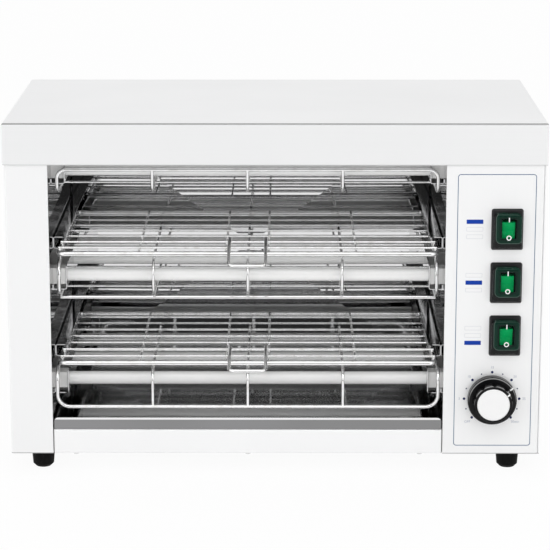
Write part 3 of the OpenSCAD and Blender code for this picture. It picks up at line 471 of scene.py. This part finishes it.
def dress(finish, *names):
    for name in names:
        mesh = nodes[name].data
        mesh.materials.clear()
        mesh.materials.append(finish)


hoodFold = Vector((0, hoodLow.y, hoodHigh.z))
trayEdge = Vector((0, trayLow.y, trayHigh.z))
# lines of painted shade along the sill's ends, along the foot of the upright panels and under the hood's
# skirt
sillEndShades = [("end", 0, sillLow.x), ("end", 0, sillHigh.x)]
upright = rolledSteel("uprightSatinSteel", uprightLitLook, None, [("foot", 2, sillLow.z)])
rail = mirrorSteel("railSteel", railShadedLook)
wire = chromedWire("chromedWire", wireLook)
quartz = glaze("milkyQuartz", quartzLook)

dress(rolledSteel("hoodSteel", satinLook, hoodFold, [("skirt", 2, hoodLow.z)]), "hood")
dress(rolledSteel("sillSteel", sillLitLook, None, sillEndShades), "floor_pan")
dress(upright, "left_side_panel", "right_side_panel", "control_panel")
dress(rolledSteel("plainSteel", plainLook), "rear_panel", "base_plate")
dress(mirrorSteel("polishedLiner", linerLook), "back_liner", "ceiling_liner")
dress(mirrorSteel("sideLiner", sideShadedLook), "left_liner", "right_liner")
dress(rail, *[side + part for side in sides for part in ("_rack_rails", "_tube_brackets")])
dress(mirrorSteel("traySteel", trayDarkReflectionLook, trayEdge), "crumb_tray")
dress(wire, *[level + "_guard" for level in levels])
dress(wire, *[rack + part for rack in ("upper", "lower") for part in ("_rack", "_rack_handle")])
dress(quartz, *[level + row for level in levels for row in ("_front_tube", "_centre_tube", "_rear_tube")])
dress(glaze("glazedCeramic", ceramicLook), *[side + "_ceramic_caps" for side in sides])
dress(chromedWire("heatingCoil", coilLook), "heating_coils")
dress(chromedWire("brass", brassLook), "terminal_pins", "switch_tabs")
dress(mouldedPlastic("blackPlastic", blackLook), *[level + "_switch_body" for level in levels])
dress(mouldedPlastic("greenRocker", greenLook), *[level + "_rocker" for level in levels])
for level in levels:
    cover = level + "_switch_cover"
    dress(coverPaintedShade(level + "Cover", coverLook, nodeMiddle(cover)), cover)
dress(knobPaintedGlints("knobPlastic", knobLook, knobFoot), "timer_knob")
dress(spunDisc("spunDisc", discLook, nodeMiddle("knob_disc")), "knob_disc")
dress(mouldedPlastic("palePlastic", paleLook), "timer_body", "terminal_block")
dress(mouldedPlastic("blackNylon", nylonLook), "cable_gland", "gland_nut")
dress(mouldedPlastic("footRubber", rubberLook), "rubber_feet")
dress(
    chromedWire("screwSteel", screwLook),
    "timer_shaft", "timer_screws", "foot_screws", "hood_screws", "rear_screws", "sill_screws",
)
print("finishes set on the frame's nodes")


# Flat pieces on a face, which looks to the front

def placePiece(name, mesh, finish, body):
    mesh.materials.clear()
    mesh.materials.append(finish)
    piece = bpy.data.objects.new(name, mesh)
    scene.collection.objects.link(piece)
    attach(piece, body)


# a shape is its points and some blocks of faces, each an array of faces with the same number of corners
def addPiece(name, shapes, finish, body):
    starts = np.cumsum([0] + [len(points) for points, blocks in shapes])
    blocks = [block + start for (points, own), start in zip(shapes, starts) for block in own]
    mesh = bpy.data.meshes.new(name)
    points = np.concatenate([points for points, own in shapes])
    mesh.from_pydata(points.tolist(), [], [face for block in blocks for face in block.tolist()])
    mesh.update()
    placePiece(name, mesh, finish, body)


# a rounded rectangle, once round: four quarter turns of one radius about the corners' centres
def roundRect(halfWidth, halfHeight, radius, steps=6):
    turn = np.linspace(0, 2 * np.pi, 4 * steps, endpoint=False) + np.pi / 4 / steps
    across = np.sign(np.cos(turn)) * (halfWidth - radius) + radius * np.cos(turn)
    up = np.sign(np.sin(turn)) * (halfHeight - radius) + radius * np.sin(turn)
    return np.stack([across, up], 1)


def circle(radius, steps):  # cosine across and sine up, once round
    turn = np.linspace(0, 2 * np.pi, steps, endpoint=False)
    return radius * np.stack([np.cos(turn), np.sin(turn)], 1)


# loops of equal length at given heights over the face: each ring of quads joins a loop to the next,
# and then the last loop is joined to the first, or both are capped
def stackLoops(loops, heights, centre, closed):
    count, total = len(loops[0]), len(loops)
    flat = np.concatenate(loops)
    points = np.stack([flat[:, 0], -np.repeat(heights, count), flat[:, 1]], 1) + np.array(centre)
    here = np.arange(count)
    after = (here + 1) % count
    near = count * np.arange(total if closed else total - 1)[:, None]
    far = (near + count) % (count * total)
    quads = np.stack([near + here, near + after, far + after, far + here], 2).reshape(-1, 4)
    caps = np.stack([here[::-1], (total - 1) * count + here])
    return points, [quads] if closed else [quads, caps]


def plate(outline, thick, centre):  # the outline on the face and again over it, capped
    return stackLoops([outline, outline], [0.0, thick], centre, False)


def band(outer, inner, thick, centre):  # up the outer loop, across to the inner one and down again
    return stackLoops([outer, outer, inner, inner], [0.0, thick, thick, 0.0], centre, True)


def frameLine(halfWidth, halfHeight, radius, wide, thick, centre):  # a line of one width inside a rectangle
    outer = roundRect(halfWidth, halfHeight, radius)
    inner = roundRect(halfWidth - wide, halfHeight - wide, radius - wide)
    return band(outer, inner, thick, centre)


# Print on the control panel: a border, three bars beside each switch, dots and numbers round the timer

panelPrint = {
    "thick": 0.00006, "line": 0.00065, "borderLeft": 0.0109, "borderRight": 0.0079, "borderUnder": 0.0085,
    "borderOver": 0.0089, "borderCorner": 0.003,
}
barPrint = {
    "width": 0.0163, "height": 0.0043, "pitch": 0.0075, "inward": 0.0282, "line": 0.0004,
    "fullCorner": 0.0004, "openCorner": 0.0006,
}
dialPrint = {
    "first": 225, "step": 22.5, "count": 13, "ring": 0.0274, "dot": 0.0013, "smallDot": 0.0007, "round": 28,
    "labels": ("OFF", "5", "10", "15", "20", "25", "30min"), "labelRing": 0.0322, "longLabel": 0.0015,
    "labelSize": 0.0034,
}
thick = panelPrint["thick"]


def addBorder():
    low = Vector((panelLow.x + panelPrint["borderLeft"], panelLow.y, panelLow.z + panelPrint["borderUnder"]))
    high = Vector((panelHigh.x - panelPrint["borderRight"], panelLow.y, hoodLow.z - panelPrint["borderOver"]))
    half = (high - low) / 2
    line = frameLine(half.x, half.z, panelPrint["borderCorner"], panelPrint["line"], thick, (low + high) / 2)
    addPiece("panel_border", [line], borderInk, "casing")


def addBars():  # the middle bar is level with its switch, and the one for the switch's own level is filled
    half = (barPrint["width"] / 2, barPrint["height"] / 2)
    filled, hollow = [], []
    for row, level in enumerate(levels):
        height = nodeMiddle(level + "_switch_body").z
        for bar in range(len(levels)):
            spot = (panelLow.x + barPrint["inward"], panelLow.y, height + (1 - bar) * barPrint["pitch"])
            if bar == row:
                filled.append(plate(roundRect(*half, barPrint["fullCorner"]), thick, spot))
            else:
                hollow.append(frameLine(*half, barPrint["openCorner"], barPrint["line"], thick, spot))
    addPiece("level_bars_filled", filled, blueInk, "casing")
    addPiece("level_bars_open", hollow, paleInk, "casing")


def onDial(reach, step):  # a place on the panel round the knob, counted in steps from off
    angle = math.radians(dialPrint["first"] - dialPrint["step"] * step)
    return knobFoot + reach * Vector((math.cos(angle), 0, math.sin(angle)))


def addDots():  # big dots at the numbers, small ones between
    dots = []
    for step in range(dialPrint["count"]):
        radius = dialPrint["smallDot"] if step % 2 else dialPrint["dot"]
        dots.append(plate(circle(radius, dialPrint["round"]), thick, onDial(dialPrint["ring"], step)))
    addPiece("timer_dots", dots, dotInk, "casing")


def addLabel(words, spot):  # lettering made a mesh, then placed on the panel
    name = "timer_label_" + words
    curve = bpy.data.curves.new(name, "FONT")
    curve.body = words
    curve.size = dialPrint["labelSize"]
    curve.align_x = "CENTER"
    curve.align_y = "CENTER"
    curve.extrude = thick / 2
    holder = bpy.data.objects.new(name + "Curve", curve)
    scene.collection.objects.link(holder)
    bpy.context.view_layer.update()
    mesh = bpy.data.meshes.new_from_object(holder.evaluated_get(bpy.context.evaluated_depsgraph_get()))
    bpy.data.objects.remove(holder)
    mesh.name = name
    lift = Vector((0, -thick / 2, 0))
    mesh.transform(Matrix.Translation(spot + lift) @ Matrix.Rotation(math.pi / 2, 4, "X"))
    placePiece(name, mesh, labelInk, "casing")


addBorder()
addBars()
addDots()
for place, words in enumerate(dialPrint["labels"]):
    extra = dialPrint["longLabel"] if len(words) > 2 else 0
    addLabel(words, onDial(dialPrint["labelRing"] + extra, 2 * place))
print("panel printed")


# On and off marks on the switch covers: a bar over a ring

switchMarks = {
    "thick": 0.00008, "shift": 0.0009, "barRise": 0.0114, "barWidth": 0.001, "barHeight": 0.0046,
    "barCorner": 0.0003, "ringDrop": 0.0066, "ring": 0.0025, "hole": 0.0015, "round": 36,
}


def addSwitchMarks(look):
    bar = roundRect(look["barWidth"] / 2, look["barHeight"] / 2, look["barCorner"])
    outer, inner = [circle(look[key], look["round"]) for key in ("ring", "hole")]
    marks = []
    for level in levels:
        cover = level + "_switch_cover"
        middle = nodeMiddle(cover)
        front = Vector((middle.x + look["shift"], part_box(cover)[0].y, middle.z))
        marks.append(plate(bar, look["thick"], front + Vector((0, 0, look["barRise"]))))
        marks.append(band(outer, inner, look["thick"], front - Vector((0, 0, look["ringDrop"]))))
    addPiece("switch_marks", marks, whiteInk, "casing")


addSwitchMarks(switchMarks)
print("switches marked")


# Pointer lines on the knob: strips laid along radial profiles, given as radius and height over the panel

pointer = {
    "angle": math.radians(33), "wide": 0.0016, "thick": 0.00012,
    "skirt": [(0.0206, 0.0094), (0.0231, 0.0094), (0.0243, 0.0082), (0.0243, 0.0055)],
    "grip": [(0.0163, 0.0226), (0.0178, 0.0226), (0.019, 0.0218), (0.0193, 0.0185)],
}


# the profile pushed both ways along its normals makes a closed outline, drawn across the strip's width
def pointerStrip(profile):
    line = np.array(profile)
    along = np.gradient(line, axis=0)
    normal = np.stack([-along[:, 1], along[:, 0]], 1)
    normal *= pointer["thick"] / np.linalg.norm(normal, axis=1, keepdims=True)
    outline = np.concatenate([line - normal, (line + normal)[::-1]])
    radial = np.array([math.cos(pointer["angle"]), 0, math.sin(pointer["angle"])])
    outward = np.array([0, -1, 0])
    half = np.cross(outward, radial) * pointer["wide"] / 2
    flat = np.array(knobFoot) + outline[:, :1] * radial + outline[:, 1:] * outward
    count = len(outline)
    here = np.arange(count)
    after = (here + 1) % count
    quads = np.stack([here + count, after + count, after, here], 1)
    return np.concatenate([flat - half, flat + half]), [quads, np.stack([here, (here + count)[::-1]])]


strips = [pointerStrip(pointer[key]) for key in ("skirt", "grip")]
addPiece("knob_pointer", strips, whiteInk, "timer_dial")
print("knob marked")


# Stage

stageLook = {
    "size": 9.0, "floor": (0.95, 0.95, 0.95), "glow": 0.94, "world": 0.8,
    "dusk": 0.03, "duskSide": 0.8, "duskTop": 0.5, "duskSoft": 0.1,
}
white = (1, 1, 1, 1)


def rayShares(graph):  # 1 on camera, glossy and transmission rays, one socket each
    outs = graph.node("LightPath").others()
    return [Socket(graph.tree, outs[f"Is {kind} Ray"]) for kind in ("Camera", "Glossy", "Transmission")]


def floorFinish():  # a pale matt floor that looks white to camera and reflections and still takes a shadow
    made, graph = startMaterial("paleFloor")
    matt = graph.node("BsdfDiffuse", None, {"Color": (*stageLook["floor"], 1)})
    glow = graph.node("Emission", None, {"Color": white, "Strength": 1.0})
    camera, glossy, through = rayShares(graph)
    seen = camera.larger(glossy).larger(through)
    both = graph.node("MixShader", None, {0: seen * stageLook["glow"], 1: matt, 2: glow})
    graph.node("OutputMaterial", None, {"Surface": both})
    return made


def addFloor():
    half = stageLook["size"] / 2
    corners = [(-half, -half, 0), (half, -half, 0), (half, half, 0), (-half, half, 0)]
    mesh = bpy.data.meshes.new("floor")
    mesh.from_pydata(corners, [], [(0, 1, 2, 3)])
    mesh.materials.append(floorFinish())
    floor = bpy.data.objects.new("floor", mesh)
    scene.collection.objects.link(floor)


def lightWorld(look):  # white to the camera, softer as light, and in reflections a dim room before the grill
    world = bpy.data.worlds.new("studio")
    scene.world = world
    world.use_nodes = True
    world.node_tree.nodes.clear()
    graph = Socket(world.node_tree)
    camera, glossy, through = rayShares(graph)
    x, y, z = parts(graph, graph.node("TexCoord", None, None, "Generated"))
    ahead = ((0.0 - y - look["duskSide"]) / look["duskSoft"]).clamped()
    under = ((look["duskTop"] - z) / look["duskSoft"]).clamped()
    room = 1 - (1 - look["dusk"]) * (ahead * under)
    plainly = camera.larger(through)
    seen = plainly.larger(glossy)
    strength = look["world"] * (1 - seen) + plainly + (seen - plainly) * room
    sky = graph.node("Background", None, {"Color": white, "Strength": strength})
    graph.node("OutputWorld", None, {"Surface": sky})


lampAim = Vector((0, 0, 0.17))
lamps = {
    "key": {"place": (0.0, -1.9, 1.9), "wide": 1.8, "tall": 0.8, "power": 10},
    "left": {"place": (-1.2, -2.0, 0.75), "wide": 1.2, "tall": 1.2, "power": 4.5},
    "right": {"place": (1.2, -2.0, 0.75), "wide": 1.2, "tall": 1.2, "power": 4.5},
}


def facing(direction):
    return direction.to_track_quat("-Z", "Y").to_euler()


def addLamp(name, lamp):
    light = bpy.data.lights.new(name, "AREA")
    light.shape = "RECTANGLE"
    light.size = lamp["wide"]
    light.size_y = lamp["tall"]
    light.energy = lamp["power"]
    holder = bpy.data.objects.new(name, light)
    holder.location = lamp["place"]
    holder.rotation_euler = facing(lampAim - holder.location)
    scene.collection.objects.link(holder)


cameraLook = {
    "place": (0.0071, -2.366, 0.7394), "yaw": -0.0032, "pitch": 0.2351, "lens": 153.1, "sensor": 36.0,
}


def addCamera(look):
    data = bpy.data.cameras.new("camera")
    data.lens = look["lens"]
    data.sensor_width = look["sensor"]
    holder = bpy.data.objects.new("camera", data)
    holder.location = look["place"]
    level = math.cos(look["pitch"])
    across, forward = math.sin(look["yaw"]) * level, math.cos(look["yaw"]) * level
    holder.rotation_euler = facing(Vector((across, forward, -math.sin(look["pitch"]))))
    scene.collection.objects.link(holder)
    scene.camera = holder


addFloor()
lightWorld(stageLook)
for name, lamp in lamps.items():
    addLamp(name, lamp)
addCamera(cameraLook)
print("stage, lamps and camera set")
